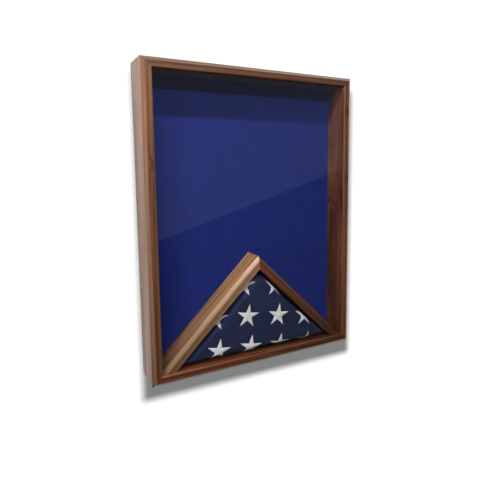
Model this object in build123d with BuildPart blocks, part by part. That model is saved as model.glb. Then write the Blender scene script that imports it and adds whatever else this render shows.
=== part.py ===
"""Rectangular shadow box with a triangular compartment for a folded 3 x 5 ft flag.

Row frame: +Z up, X across the case, the glass faces -Y.  The origin is the centre of the
underside, halfway between the front and rear edges of the boards.  Millimetres throughout.
"""

import os
from math import radians, sin, sqrt

from build123d import *

# ---------------------------------------------------------------- driving dimensions
CASE_WIDTH = 457.2  # 18 in
CASE_HEIGHT = 609.6  # 24 in
CASE_DEPTH = 76.2  # 3 in boards
BOARD = 19.05  # 3/4 in stock
OUTER_CHAMFER = 6.35  # bevel round the outside of the front
INNER_CHAMFER = 1.6  # eased sight edge, 1/16 in

GLASS_SETBACK = 5.6  # front edge of the boards to the glass groove
GLASS_THICKNESS = 2.0
GLASS_BITE = 4.2  # how far the pane runs into its groove
GROOVE_WIDTH = 2.4
GROOVE_DEPTH = 5.0

FELT_THICKNESS = 1.0
PIN_BOARD_THICKNESS = 5.0
BACK_PANEL_THICKNESS = 5.5
BACK_REVEAL = 0.5  # the back panel sits this far inside the rear edges
RABBET_WIDTH = 6.35
PANEL_CLEARANCE = 0.8  # round the loose back, inside the rabbet
SLIDE_GAP = 0.2  # between the loose back and whatever it rests against

LEG_SETBACK = 8.2  # front edge of the boards to the front of the flag legs
APEX_FLAT = 1.6  # width of the flat eased on the ridge of the legs

SPLINE_THICKNESS = 3.0
SPLINE_WIDTH = 16.0
SPLINE_LENGTH = 44.0
SPLINE_SETBACK = 16.0  # front edge of the boards to the front of the splines
SPLINE_DEPTH = 12.0  # inner corner of the mitre to the middle of the spline
SPLINE_SLOT_GAP = 0.05

FLAG_GAP = 3.0  # between the folded flag and the legs
FLAG_FRONT_GAP = 4.5  # between the folded flag and the plane of the legs' fronts
FLAG_THICKNESS = 47.0
FLAG_CORNER_RADIUS = 9.0
FLAG_EDGE_RADIUS = 7.0
FLAG_LIFT = 0.3

BUTTON_THICKNESS = 1.4
BUTTON_LIFT = 0.15  # between a turn button and the board that it turns on
BUTTON_PIVOT_RADIUS = 4.75
BUTTON_TIP_RADIUS = 3.2
BUTTON_REACH = 24.0  # pivot to the middle of the tip
BUTTON_CURL_RADIUS = 14.0  # the tip curls up for a fingernail
BUTTON_CURL_ANGLE = 25.0
BUTTON_SCREW_RADIUS = 1.75
BUTTON_SCREW_LENGTH = 14.0
RUNNING_GAP = 0.05  # radial, between a screw and what turns or sits on it
PAN_HEAD_RADIUS = 3.1
PAN_HEAD_HEIGHT = 2.0
PAN_HEAD_RIM = 0.7  # straight side of the head, below its dome
RECESS_WIDTH = 0.9
RECESS_LENGTH = 3.2
RECESS_DEPTH = 1.2
RECESS_TURN = 20  # degrees, as the driver left them

SIDE_BUTTON_HEIGHTS = (0.22 * CASE_HEIGHT, 0.62 * CASE_HEIGHT)
END_BUTTON_OFFSET = 0.24 * CASE_WIDTH

RING_WIRE_RADIUS = 1.1
RING_HALF_WIDTH = 4.8  # middle of the wire to the middle of the ring
RING_CORNER_RADIUS = 1.4
RING_SIDE = 5.4  # ring axis to the start of the D's arc
STRAP_THICKNESS = 1.2
STRAP_WIDTH = 6.8
STRAP_LENGTH = 36.0  # ring axis to the rounded end
KNUCKLE_GAP = 0.1  # between the ring's wire and the rolled end of the strap
HANGER_HEIGHT = 0.80 * CASE_HEIGHT  # ring axis above the base
HANGER_SCREWS = (15.5, 29.5)  # below the ring axis
HANGER_SCREW_RADIUS = 1.5
HANGER_SCREW_LENGTH = 13.0

LEG_SCREW_RADIUS = 2.0
LEG_SCREW_HEAD_RADIUS = 4.0
COUNTERSINK_ANGLE = 90
LEG_SCREW_TIP = 35.0  # height of the screw tips above the base
LEG_SCREW_INSET = 19.5  # in from the case's inner wall
LEG_SCREW_SETBACKS = (24.0, 48.0)  # behind the front edge

BUMPER_RADIUS = 4.75
BUMPER_THICKNESS = 5.0
BUMPER_DOME = 1.2

# ---------------------------------------------------------------- what follows from them
FRONT = -CASE_DEPTH / 2
REAR = CASE_DEPTH / 2
INNER_X = CASE_WIDTH / 2 - BOARD
INNER_TOP = CASE_HEIGHT - BOARD
INNER_BOTTOM = BOARD
CENTRE_Z = CASE_HEIGHT / 2
BACKING_DEPTH = FELT_THICKNESS + PIN_BOARD_THICKNESS + BACK_PANEL_THICKNESS + BACK_REVEAL
SHOULDER = REAR - BACKING_DEPTH  # the rabbet's shoulder
LAND = BOARD - RABBET_WIDTH  # width of the rear edge left behind the rabbet
LAND_CENTRE = LAND / 2
LEG_FRONT = FRONT + LEG_SETBACK
LEG_REAR = SHOULDER - SLIDE_GAP
APEX_Z = INNER_BOTTOM + INNER_X  # where the legs' outer faces would meet
LEG_FOOT = BOARD * sqrt(2)  # a leg's width measured along the base
KNUCKLE_INNER = RING_WIRE_RADIUS + KNUCKLE_GAP
KNUCKLE_OUTER = KNUCKLE_INNER + STRAP_THICKNESS
RING_AXIS_Y = REAR + STRAP_THICKNESS + KNUCKLE_INNER
HANGER_X = CASE_WIDTH / 2 - LAND_CENTRE
DOME_HEIGHT = PAN_HEAD_HEIGHT - PAN_HEAD_RIM
DOME_RADIUS = (PAN_HEAD_RADIUS**2 + DOME_HEIGHT**2) / (2 * DOME_HEIGHT)

os.makedirs("parts", exist_ok=True)


def save(builder, name):
    """Label a finished sub-part and write it as parts/NAME.step."""
    builder.part.label = name
    export_step(builder.part, f"parts/{name}.step")


# ---------------------------------------------------------------- turn buttons: where they are
def button_places():
    """(name, pivot x, pivot z, direction of the tongue when it is turned open)."""
    side_x = CASE_WIDTH / 2 - LAND_CENTRE
    places = []
    for level, z in zip(("lower", "upper"), SIDE_BUTTON_HEIGHTS):
        places.append((f"turn_button_left_{level}", -side_x, z, (0, 0, -1)))
        places.append((f"turn_button_right_{level}", side_x, z, (0, 0, -1)))
    for end, z in (("bottom", LAND_CENTRE), ("top", CASE_HEIGHT - LAND_CENTRE)):
        places.append((f"turn_button_{end}_left", -END_BUTTON_OFFSET, z, (-1, 0, 0)))
        places.append((f"turn_button_{end}_right", END_BUTTON_OFFSET, z, (1, 0, 0)))
    return places


BUTTONS = button_places()
BUTTON_POINTS = [(x, REAR, z) for _, x, z, _ in BUTTONS]
HANGER_POINTS = [
    (side * HANGER_X, REAR, HANGER_HEIGHT - drop) for side in (-1, 1) for drop in HANGER_SCREWS
]
LEG_SCREW_POINTS = [
    (side * (INNER_X - LEG_SCREW_INSET), FRONT + setback)
    for side in (-1, 1)
    for setback in LEG_SCREW_SETBACKS
]


# ---------------------------------------------------------------- outer boards
BOARD_SECTION = [  # x runs front to rear, y from the outer face to the inner one
    (OUTER_CHAMFER, 0),
    (CASE_DEPTH, 0),
    (CASE_DEPTH, LAND),
    (CASE_DEPTH - BACKING_DEPTH, LAND),
    (CASE_DEPTH - BACKING_DEPTH, BOARD),
    (GLASS_SETBACK + GROOVE_WIDTH, BOARD),
    (GLASS_SETBACK + GROOVE_WIDTH, BOARD - GROOVE_DEPTH),
    (GLASS_SETBACK, BOARD - GROOVE_DEPTH),
    (GLASS_SETBACK, BOARD),
    (INNER_CHAMFER, BOARD),
    (0, BOARD - INNER_CHAMFER),
    (0, OUTER_CHAMFER),
]


def mitre_plane(x_side, z_side, keep_side):
    """Plane of one mitre; keep_side is 1 on the top and bottom boards, -1 on the side boards."""
    corner = (x_side * CASE_WIDTH / 2, 0, CENTRE_Z + z_side * CENTRE_Z)
    return Plane(origin=corner, x_dir=(0, 1, 0), z_dir=(-keep_side * x_side, 0, keep_side * z_side))


def spline_plane(x_side, z_side):
    """Middle of a corner's spline: x along the mitre's normal, z along the mitre's diagonal."""
    reach = SPLINE_DEPTH / sqrt(2)
    middle = (
        x_side * (INNER_X + reach),
        FRONT + SPLINE_SETBACK + SPLINE_LENGTH / 2,
        CENTRE_Z + z_side * (CENTRE_Z - BOARD + reach),
    )
    return Plane(origin=middle, x_dir=(-x_side, 0, z_side), z_dir=(x_side, 0, z_side))


def rear_plane(x, y, z):
    """Plane facing away from the back of the case, its y axis up."""
    return Plane(origin=(x, y, z), x_dir=(-1, 0, 0), z_dir=(0, 1, 0))


def pilot_holes():
    """(x, z, radius, depth) of every pilot hole in the rear edges."""
    buttons = [(x, z, BUTTON_SCREW_RADIUS, BUTTON_SCREW_LENGTH) for x, _, z in BUTTON_POINTS]
    hangers = [(x, z, HANGER_SCREW_RADIUS, HANGER_SCREW_LENGTH) for x, _, z in HANGER_POINTS]
    return buttons + hangers


def frame_board(outer_middle, inward, length, corners):
    """One mitred board; corners are the (x side, z side) of its two ends."""
    lies_across = 1 if inward[2] else -1
    sweep_axis = Vector(0, 1, 0).cross(Vector(*inward))
    section = Plane(origin=outer_middle, x_dir=(0, 1, 0), z_dir=sweep_axis)
    with BuildPart() as board:
        with BuildSketch(section):
            with BuildLine():
                Polyline(*BOARD_SECTION, close=True)
            make_face()
        extrude(amount=length / 2, both=True)
        for corner in corners:
            split(bisect_by=mitre_plane(*corner, lies_across), keep=Keep.TOP)
            with BuildSketch(spline_plane(*corner)):
                Rectangle(SPLINE_WIDTH + 2 * SPLINE_SLOT_GAP, SPLINE_LENGTH + 2 * SPLINE_SLOT_GAP)
            extrude(amount=SPLINE_THICKNESS / 2 + SPLINE_SLOT_GAP, both=True, mode=Mode.SUBTRACT)
        for x, z, radius, depth in pilot_holes():
            with BuildSketch(rear_plane(x, REAR, z)):
                Circle(radius + RUNNING_GAP)
            extrude(amount=-depth, mode=Mode.SUBTRACT)
        for x, y in LEG_SCREW_POINTS:
            with Locations(Plane(origin=(x, y, 0), z_dir=(0, 0, -1))):
                CounterSinkHole(
                    LEG_SCREW_RADIUS + RUNNING_GAP,
                    LEG_SCREW_HEAD_RADIUS + RUNNING_GAP,
                    BOARD,
                    counter_sink_angle=COUNTERSINK_ANGLE,
                )
    return board


CORNERS = {
    "bottom": [(-1, -1), (1, -1)],
    "top": [(-1, 1), (1, 1)],
    "left": [(-1, -1), (-1, 1)],
    "right": [(1, -1), (1, 1)],
}
save(frame_board((0, FRONT, 0), (0, 0, 1), CASE_WIDTH, CORNERS["bottom"]), "frame_bottom")
save(frame_board((0, FRONT, CASE_HEIGHT), (0, 0, -1), CASE_WIDTH, CORNERS["top"]), "frame_top")
for side_name, side in (("left", -1), ("right", 1)):
    outer_middle = (side * CASE_WIDTH / 2, FRONT, CENTRE_Z)
    upright = frame_board(outer_middle, (-side, 0, 0), CASE_HEIGHT, CORNERS[side_name])
    save(upright, f"frame_{side_name}")

# ---------------------------------------------------------------- corner splines
for z_name in ("bottom", "top"):
    for x_name, corner in zip(("left", "right"), CORNERS[z_name]):
        with BuildPart() as corner_spline:
            with BuildSketch(spline_plane(*corner)):
                Rectangle(SPLINE_WIDTH, SPLINE_LENGTH)
            extrude(amount=SPLINE_THICKNESS / 2, both=True)
        save(corner_spline, f"corner_spline_{z_name}_{x_name}")

# ---------------------------------------------------------------- glass
with BuildPart() as glass_pane:
    with BuildSketch(Plane.XZ.offset(-(FRONT + GLASS_SETBACK + GROOVE_WIDTH / 2))):
        with Locations((0, CENTRE_Z)):
            Rectangle(2 * (INNER_X + GLASS_BITE), INNER_TOP - INNER_BOTTOM + 2 * GLASS_BITE)
    extrude(amount=GLASS_THICKNESS / 2, both=True)
save(glass_pane, "glass_pane")

# ---------------------------------------------------------------- the two legs over the flag
APEX_SPLINE_PLANE = Plane(
    origin=(
        0,
        LEG_FRONT + SPLINE_SETBACK + SPLINE_LENGTH / 4,
        APEX_Z - LEG_FOOT / 2 - APEX_FLAT / 4,
    )
)


def flag_leg(x_side):
    """One 45 degree leg: its foot stands on the bottom board, its head is mitred at the apex."""
    foot = Plane(
        origin=(x_side * INNER_X, LEG_FRONT, INNER_BOTTOM),
        x_dir=(0, 1, 0),
        z_dir=(-x_side, 0, 1),
    )
    depth = LEG_REAR - LEG_FRONT
    with BuildPart() as leg:
        with BuildSketch(foot):
            with BuildLine():
                Polyline(
                    (OUTER_CHAMFER, 0),
                    (depth, 0),
                    (depth, x_side * BOARD),
                    (0, x_side * BOARD),
                    (0, x_side * OUTER_CHAMFER),
                    close=True,
                )
            make_face()
        extrude(amount=2 * INNER_X)
        split(bisect_by=Plane.YZ, keep=Keep.TOP if x_side > 0 else Keep.BOTTOM)
        split(bisect_by=Plane.XY.offset(INNER_BOTTOM), keep=Keep.TOP)
        split(bisect_by=Plane.XY.offset(APEX_Z - APEX_FLAT / 2), keep=Keep.BOTTOM)
        with BuildSketch(APEX_SPLINE_PLANE):
            Rectangle(SPLINE_WIDTH + 2 * SPLINE_SLOT_GAP, SPLINE_LENGTH / 2 + 2 * SPLINE_SLOT_GAP)
        extrude(amount=SPLINE_THICKNESS / 2 + SPLINE_SLOT_GAP, both=True, mode=Mode.SUBTRACT)
        with BuildSketch(Plane.XY):
            with Locations(*LEG_SCREW_POINTS):
                Circle(LEG_SCREW_RADIUS + RUNNING_GAP)
        extrude(amount=LEG_SCREW_TIP, mode=Mode.SUBTRACT)
    return leg


save(flag_leg(-1), "flag_leg_left")
save(flag_leg(1), "flag_leg_right")

with BuildPart() as apex_spline:
    with BuildSketch(APEX_SPLINE_PLANE):
        Rectangle(SPLINE_WIDTH, SPLINE_LENGTH / 2)
    extrude(amount=SPLINE_THICKNESS / 2, both=True)
save(apex_spline, "apex_spline")

with BuildPart() as leg_screws:
    for x, y in LEG_SCREW_POINTS:
        with BuildSketch(Plane.XZ.offset(-y)):
            with BuildLine():
                Polyline(
                    (x, 0),
                    (x + LEG_SCREW_HEAD_RADIUS, 0),
                    (x + LEG_SCREW_RADIUS, LEG_SCREW_HEAD_RADIUS - LEG_SCREW_RADIUS),
                    (x + LEG_SCREW_RADIUS, LEG_SCREW_TIP - 2 * LEG_SCREW_RADIUS),
                    (x, LEG_SCREW_TIP),
                    close=True,
                )
            make_face()
        revolve(axis=Axis((x, y, 0), (0, 0, 1)))
    with BuildSketch(Plane.XY):
        with Locations(*LEG_SCREW_POINTS):
            Rectangle(RECESS_LENGTH, RECESS_WIDTH)
            Rectangle(RECESS_WIDTH, RECESS_LENGTH)
    extrude(amount=RECESS_DEPTH, mode=Mode.SUBTRACT)
save(leg_screws, "leg_screws")

# ---------------------------------------------------------------- folded flag
with BuildPart() as folded_flag:
    with BuildSketch(Plane.XZ.offset(-(LEG_FRONT + FLAG_FRONT_GAP + FLAG_THICKNESS / 2))):
        with BuildLine():
            half_base = INNER_X - LEG_FOOT - FLAG_GAP * sqrt(2)
            flag_base = INNER_BOTTOM + FLAG_LIFT
            Polyline(
                (-half_base, flag_base),
                (half_base, flag_base),
                (0, flag_base + half_base),
                close=True,
            )
        make_face()
    extrude(amount=FLAG_THICKNESS / 2, both=True)
    fillet(folded_flag.edges().filter_by(Axis.Y), FLAG_CORNER_RADIUS)
    fillet(folded_flag.faces().sort_by(Axis.Y)[0].edges(), FLAG_EDGE_RADIUS)
    fillet(folded_flag.faces().sort_by(Axis.Y)[-1].edges(), FLAG_EDGE_RADIUS)
save(folded_flag, "folded_flag")


# ---------------------------------------------------------------- the loose back
def back_layer(front_y, thickness):
    """One full-size sheet of the back, inside the rabbet."""
    with BuildPart() as layer:
        with BuildSketch(rear_plane(0, front_y, CENTRE_Z)):
            Rectangle(
                CASE_WIDTH - 2 * (LAND + PANEL_CLEARANCE),
                CASE_HEIGHT - 2 * (LAND + PANEL_CLEARANCE),
            )
        extrude(amount=thickness)
    return layer


FELT_FRONT = SHOULDER + SLIDE_GAP / 2
PIN_BOARD_FRONT = SHOULDER + FELT_THICKNESS
BACK_PANEL_FRONT = PIN_BOARD_FRONT + PIN_BOARD_THICKNESS
save(back_layer(FELT_FRONT, PIN_BOARD_FRONT - FELT_FRONT), "felt_liner")
save(back_layer(PIN_BOARD_FRONT, PIN_BOARD_THICKNESS), "pin_board")
save(back_layer(BACK_PANEL_FRONT, BACK_PANEL_THICKNESS), "back_panel")


# ---------------------------------------------------------------- turn buttons
def turn_button(pivot_x, pivot_z, tongue):
    """A stamped teardrop plate, its tongue pointing along the given direction."""
    pivot = (pivot_x, REAR + BUTTON_LIFT, pivot_z)
    flat = Plane(origin=pivot, x_dir=tongue, z_dir=(0, 1, 0))
    side = Plane(origin=pivot, x_dir=tongue, z_dir=Vector(*tongue).cross(Vector(0, 1, 0)))
    curl_start = BUTTON_REACH + BUTTON_TIP_RADIUS - BUTTON_CURL_RADIUS * sin(
        radians(BUTTON_CURL_ANGLE)
    )
    with BuildPart() as button:
        with BuildSketch(flat):
            Circle(BUTTON_PIVOT_RADIUS)
            with Locations((BUTTON_REACH, 0)):
                Circle(BUTTON_TIP_RADIUS)
            make_hull()
        extrude(amount=BUTTON_CURL_RADIUS)
        with BuildSketch(side):
            with BuildLine():
                heel = -2 * BUTTON_PIVOT_RADIUS
                under = JernArc((curl_start, 0), (1, 0), BUTTON_CURL_RADIUS, BUTTON_CURL_ANGLE)
                over = JernArc(
                    (curl_start, BUTTON_THICKNESS),
                    (1, 0),
                    BUTTON_CURL_RADIUS - BUTTON_THICKNESS,
                    BUTTON_CURL_ANGLE,
                )
                Line(under @ 1, over @ 1)
                Polyline(
                    (curl_start, 0),
                    (heel, 0),
                    (heel, BUTTON_THICKNESS),
                    (curl_start, BUTTON_THICKNESS),
                )
            make_face()
        extrude(amount=2 * BUTTON_PIVOT_RADIUS, both=True, mode=Mode.INTERSECT)
        with Locations(flat):
            Hole(BUTTON_SCREW_RADIUS + RUNNING_GAP)
    return button


for button_name, button_x, button_z, open_tongue in BUTTONS:
    save(turn_button(button_x, button_z, open_tongue), button_name)


# ---------------------------------------------------------------- pan-head screws
def pan_screws(points, radius, length, head_seat):
    """Pan-head screws along Y at each point, their heads head_seat above the boards."""
    with BuildPart() as screws:
        for x, y, z in points:
            seat = y + head_seat
            crown = seat + PAN_HEAD_HEIGHT
            with BuildSketch(Plane.XY.offset(z)):
                with BuildLine():
                    Polyline(
                        (x, crown),
                        (x, y - length + RUNNING_GAP),
                        (x + radius, y - length + 2 * radius),
                        (x + radius, seat),
                        (x + PAN_HEAD_RADIUS, seat),
                        (x + PAN_HEAD_RADIUS, seat + PAN_HEAD_RIM),
                    )
                    RadiusArc((x, crown), (x + PAN_HEAD_RADIUS, seat + PAN_HEAD_RIM), DOME_RADIUS)
                make_face()
            revolve(axis=Axis((x, y, z), (0, 1, 0)))
            with BuildSketch(rear_plane(x, crown, z)):
                Rectangle(RECESS_LENGTH, RECESS_WIDTH, rotation=RECESS_TURN)
                Rectangle(RECESS_WIDTH, RECESS_LENGTH, rotation=RECESS_TURN)
            extrude(amount=-RECESS_DEPTH, mode=Mode.SUBTRACT)
    return screws


BUTTON_SEAT = BUTTON_LIFT + BUTTON_THICKNESS + BUTTON_LIFT
save(
    pan_screws(BUTTON_POINTS, BUTTON_SCREW_RADIUS, BUTTON_SCREW_LENGTH, BUTTON_SEAT),
    "turn_button_screws",
)
save(
    pan_screws(HANGER_POINTS, HANGER_SCREW_RADIUS, HANGER_SCREW_LENGTH, STRAP_THICKNESS),
    "hanger_screws",
)


# ---------------------------------------------------------------- D-ring hangers
def ring_axis_plane(x):
    """Plane across a ring's straight bar."""
    return Plane(origin=(x, RING_AXIS_Y, HANGER_HEIGHT), x_dir=(0, 1, 0), z_dir=(1, 0, 0))


def hanger_strap(x):
    """A strap screwed to the rear edge, its upper end rolled round the ring's bar."""
    half = STRAP_WIDTH / 2
    end = half - STRAP_LENGTH
    with BuildPart() as strap:
        with BuildSketch(rear_plane(x, REAR, HANGER_HEIGHT)):
            with BuildLine():
                Polyline((-half, end), (-half, 0), (half, 0), (half, end))
                ThreePointArc((half, end), (0, end - half), (-half, end))
            make_face()
        extrude(amount=STRAP_THICKNESS)
        with BuildSketch(ring_axis_plane(x)):
            Circle(KNUCKLE_OUTER)
        extrude(amount=half, both=True)
        with BuildSketch(ring_axis_plane(x)):
            Circle(KNUCKLE_INNER)
        extrude(amount=STRAP_WIDTH, both=True, mode=Mode.SUBTRACT)
        for drop in HANGER_SCREWS:
            with BuildSketch(rear_plane(x, REAR, HANGER_HEIGHT - drop)):
                Circle(HANGER_SCREW_RADIUS + RUNNING_GAP)
            extrude(amount=STRAP_THICKNESS, mode=Mode.SUBTRACT)
    return strap


def hanger_ring(x):
    """A welded D of round wire, hanging down from its straight bar."""
    wide = RING_HALF_WIDTH
    corner = RING_CORNER_RADIUS
    with BuildPart() as ring:
        with BuildLine(rear_plane(x, RING_AXIS_Y, HANGER_HEIGHT)):
            Line((0, 0), (wide - corner, 0))
            JernArc((wide - corner, 0), (1, 0), corner, -90)
            Line((wide, -corner), (wide, -RING_SIDE))
            JernArc((wide, -RING_SIDE), (0, -1), wide, -180)
            Line((-wide, -RING_SIDE), (-wide, -corner))
            JernArc((-wide, -corner), (0, 1), corner, -90)
            Line((corner - wide, 0), (0, 0))
        with BuildSketch(ring_axis_plane(x)):
            Circle(RING_WIRE_RADIUS)
        sweep()
    return ring


for side_name, side in (("left", -1), ("right", 1)):
    save(hanger_strap(side * HANGER_X), f"hanger_strap_{side_name}")
    save(hanger_ring(side * HANGER_X), f"hanger_ring_{side_name}")

# ---------------------------------------------------------------- wall bumpers
with BuildPart() as wall_bumpers:
    for bumper_x in (-HANGER_X, HANGER_X):
        for bumper_z in (LAND_CENTRE, CASE_HEIGHT - LAND_CENTRE):
            with BuildSketch(rear_plane(bumper_x, REAR, bumper_z)):
                Circle(BUMPER_RADIUS)
            extrude(amount=BUMPER_THICKNESS)
    crowns = wall_bumpers.faces().filter_by(Axis.Y).group_by(Axis.Y)[-1]
    chamfer(crowns.edges(), BUMPER_DOME)
save(wall_bumpers, "wall_bumpers")
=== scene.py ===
"""Looks for the folded flag display case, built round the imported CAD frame. Metres throughout."""

import math

import bmesh
import bpy
from mathutils import Matrix, Vector, geometry, noise
from mathutils.bvhtree import BVHTree


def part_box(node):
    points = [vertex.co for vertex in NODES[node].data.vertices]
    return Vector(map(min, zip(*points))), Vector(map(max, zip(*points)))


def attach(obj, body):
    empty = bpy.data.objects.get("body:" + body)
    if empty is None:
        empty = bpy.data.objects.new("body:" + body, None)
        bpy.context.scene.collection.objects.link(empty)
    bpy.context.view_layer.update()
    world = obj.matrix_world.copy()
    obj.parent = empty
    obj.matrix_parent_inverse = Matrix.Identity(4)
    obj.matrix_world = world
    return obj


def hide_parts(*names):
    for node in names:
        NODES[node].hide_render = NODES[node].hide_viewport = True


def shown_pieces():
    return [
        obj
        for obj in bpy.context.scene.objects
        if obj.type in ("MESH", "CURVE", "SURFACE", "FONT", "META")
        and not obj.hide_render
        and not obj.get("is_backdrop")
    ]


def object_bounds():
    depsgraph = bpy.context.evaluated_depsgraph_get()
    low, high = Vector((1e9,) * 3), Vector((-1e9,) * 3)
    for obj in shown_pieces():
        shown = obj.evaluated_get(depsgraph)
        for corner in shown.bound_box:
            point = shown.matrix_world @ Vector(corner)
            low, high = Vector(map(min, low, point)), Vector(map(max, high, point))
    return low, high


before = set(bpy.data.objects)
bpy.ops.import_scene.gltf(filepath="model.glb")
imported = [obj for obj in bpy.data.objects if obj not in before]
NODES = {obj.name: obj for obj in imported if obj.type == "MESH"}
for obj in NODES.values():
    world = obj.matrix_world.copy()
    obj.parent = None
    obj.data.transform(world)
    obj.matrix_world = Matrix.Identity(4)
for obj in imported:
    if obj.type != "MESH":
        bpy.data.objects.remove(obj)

CAD_LOW, CAD_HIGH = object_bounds()
MM = 0.001

# ---------------------------------------------------------------- places read from the frame
CASE_HEIGHT = CAD_HIGH.z - CAD_LOW.z
CENTRE = Vector((0.0, 0.0, CAD_LOW.z + CASE_HEIGHT / 2))
GLASS_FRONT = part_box("glass_pane")[0].y
FELT_LOW, FELT_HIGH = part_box("felt_liner")
FLAG_LOW, FLAG_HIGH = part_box("folded_flag")


# ---------------------------------------------------------------- node helpers
class Shader:
    """A new material and short calls for the nodes in it."""

    def __init__(self, name):
        self.material = bpy.data.materials.new(name)
        self.material.use_nodes = True
        self.tree = self.material.node_tree
        self.surface = self.tree.nodes["Principled BSDF"]

    def add(self, kind, inputs=None, **settings):
        """A node with its settings and its inputs, where an input is a value or another node's socket."""
        node = self.tree.nodes.new(kind)
        for key, value in settings.items():
            setattr(node, key, value)
        for key, value in (inputs or {}).items():
            self.feed(node.inputs[key], value)
        return node

    def feed(self, socket, value):
        if isinstance(value, bpy.types.NodeSocket):
            self.tree.links.new(value, socket)
        else:
            socket.default_value = value

    def set(self, **values):
        """Inputs of the surface shader, with underscores for the spaces in their names."""
        for key, value in values.items():
            self.feed(self.surface.inputs[key.replace("_", " ")], value)

    def math(self, operation, a, b=0.0, clamp=False):
        node = self.add("ShaderNodeMath", {0: a, 1: b}, operation=operation, use_clamp=clamp)
        return node.outputs[0]

    def plus(self, a, b):
        return self.math("ADD", a, b)

    def times(self, a, b):
        return self.math("MULTIPLY", a, b)

    def vector_math(self, operation, a, b):
        return self.add("ShaderNodeVectorMath", {0: a, 1: b}, operation=operation).outputs[0]

    def parts(self, vector):
        """The X, Y and Z sockets of a vector."""
        return self.add("ShaderNodeSeparateXYZ", {0: vector}).outputs

    def length(self, vector):
        return self.add("ShaderNodeVectorMath", {0: vector}, operation="LENGTH").outputs["Value"]

    def noise(self, vector, scale, detail=3.0, roughness=0.5, distortion=0.0):
        inputs = {
            "Vector": vector,
            "Scale": scale,
            "Detail": detail,
            "Roughness": roughness,
            "Distortion": distortion,
        }
        return self.add("ShaderNodeTexNoise", inputs).outputs["Fac"]

    def remap(self, value, low, high, to_low=0.0, to_high=1.0):
        inputs = {
            "Value": value,
            "From Min": low,
            "From Max": high,
            "To Min": to_low,
            "To Max": to_high,
        }
        return self.add("ShaderNodeMapRange", inputs).outputs["Result"]

    def ramp(self, value, stops):
        """A colour ramp; stops are (position, colour)."""
        node = self.add("ShaderNodeValToRGB", {"Fac": value})
        elements = node.color_ramp.elements
        while len(elements) < len(stops):
            elements.new(0.5)
        for element, (position, colour) in zip(elements, stops):
            element.position = position
            element.color = (*colour, 1.0)
        return node.outputs["Color"]

    def mix(self, factor, a, b, blend="MIX"):
        node = self.add("ShaderNodeMix", data_type="RGBA", blend_type=blend)
        for index, value in ((0, factor), (6, a), (7, b)):
            if index and not isinstance(value, bpy.types.NodeSocket):
                value = (*value, 1.0)
            self.feed(node.inputs[index], value)
        return node.outputs[2]

    def bump(self, height, strength, distance, normal=None):
        inputs = {"Height": height, "Strength": strength, "Distance": distance}
        if normal is not None:
            inputs["Normal"] = normal
        return self.add("ShaderNodeBump", inputs).outputs["Normal"]

    def place(self):
        """Row-frame coordinates, in metres."""
        return self.add("ShaderNodeTexCoord").outputs["Object"]

    def finish_with(self, factor, other):
        """Mixes another shader over the surface shader by a factor."""
        both = self.add("ShaderNodeMixShader", {0: factor, 1: self.surface.outputs[0], 2: other})
        output = self.tree.nodes["Material Output"]
        self.tree.links.new(both.outputs[0], output.inputs["Surface"])


def scaled(colour, factor):
    return tuple(channel * factor for channel in colour)


def tinted(colour, tint):
    return tuple(channel * share for channel, share in zip(colour, tint))


# ---------------------------------------------------------------- materials
WALNUT_DARK = (0.060, 0.020, 0.010)
WALNUT_MIDDLE = (0.212, 0.083, 0.038)
WALNUT_LIGHT = (0.375, 0.172, 0.088)
BLACK = (0.0, 0.0, 0.0)
# Scales of noise along and across the grain, per metre.
WANDER = (1.6, 9.0)
FIBRES = (22.0, 900.0)
PORES = (70.0, 1900.0)
BANDS = (2.6, 60.0)
PATCHES = (7.0, 14.0)
PITH_TAPER = 0.06  # how fast a board runs away from the pith
PITH_WANDER = 0.024
WIDE_RINGS, FINE_RINGS = 240.0, 700.0  # light or dark rings per metre from the pith
RING_RAGGED = 0.0016  # how far the fibres pull a ring's edge about
KNOT_LENGTH = 0.45  # a knot's width over its length
KNOT_SWIRL = 0.012  # how far a knot pushes the rings aside
KNOT_COVER = 0.85  # how much of the wood's own colour a knot hides at its middle
PORE_START, PORE_END = 0.64, 0.74  # noise at which a pore begins and is deepest
# How much each pattern darkens the wood, and the sums that come out lightest and darkest.
WIDE_SHARE, FINE_SHARE, BAND_SHARE, FIBRE_SHARE, PATCH_SHARE = 0.20, 0.14, 0.62, 0.30, 0.20
LIGHTEST, DARKEST = 0.40, 0.94
# Painted shade inside the case: a board painted darker behind its front edge, with a ragged line along the
# grain, and less so higher up.
PAINTED_RECESS_SHADE_START, PAINTED_RECESS_SHADE_END = CAD_LOW.y + 6 * MM, CAD_LOW.y + 14 * MM
PAINTED_RECESS_SHADE_RAGGED = 6 * MM
PAINTED_RECESS_SHADE_LOW, PAINTED_RECESS_SHADE_HIGH = 0.34, 0.52  # heights between which it fades to half
CHAMFER_PAINTED_HIGHLIGHT = 0.5  # how much paler the chamfers are painted, a painted highlight as if they caught the light, for a slant of 1


def slant(shade):
    """Nought on faces that look straight forward or straight aside, and 0.5 on chamfers between them."""
    forward = shade.parts(shade.add("ShaderNodeNewGeometry").outputs["Normal"])["Y"]
    aside = shade.math("SQRT", shade.math("SUBTRACT", 1.0, shade.times(forward, forward)))
    return shade.math("ABSOLUTE", shade.times(forward, aside))


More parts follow.
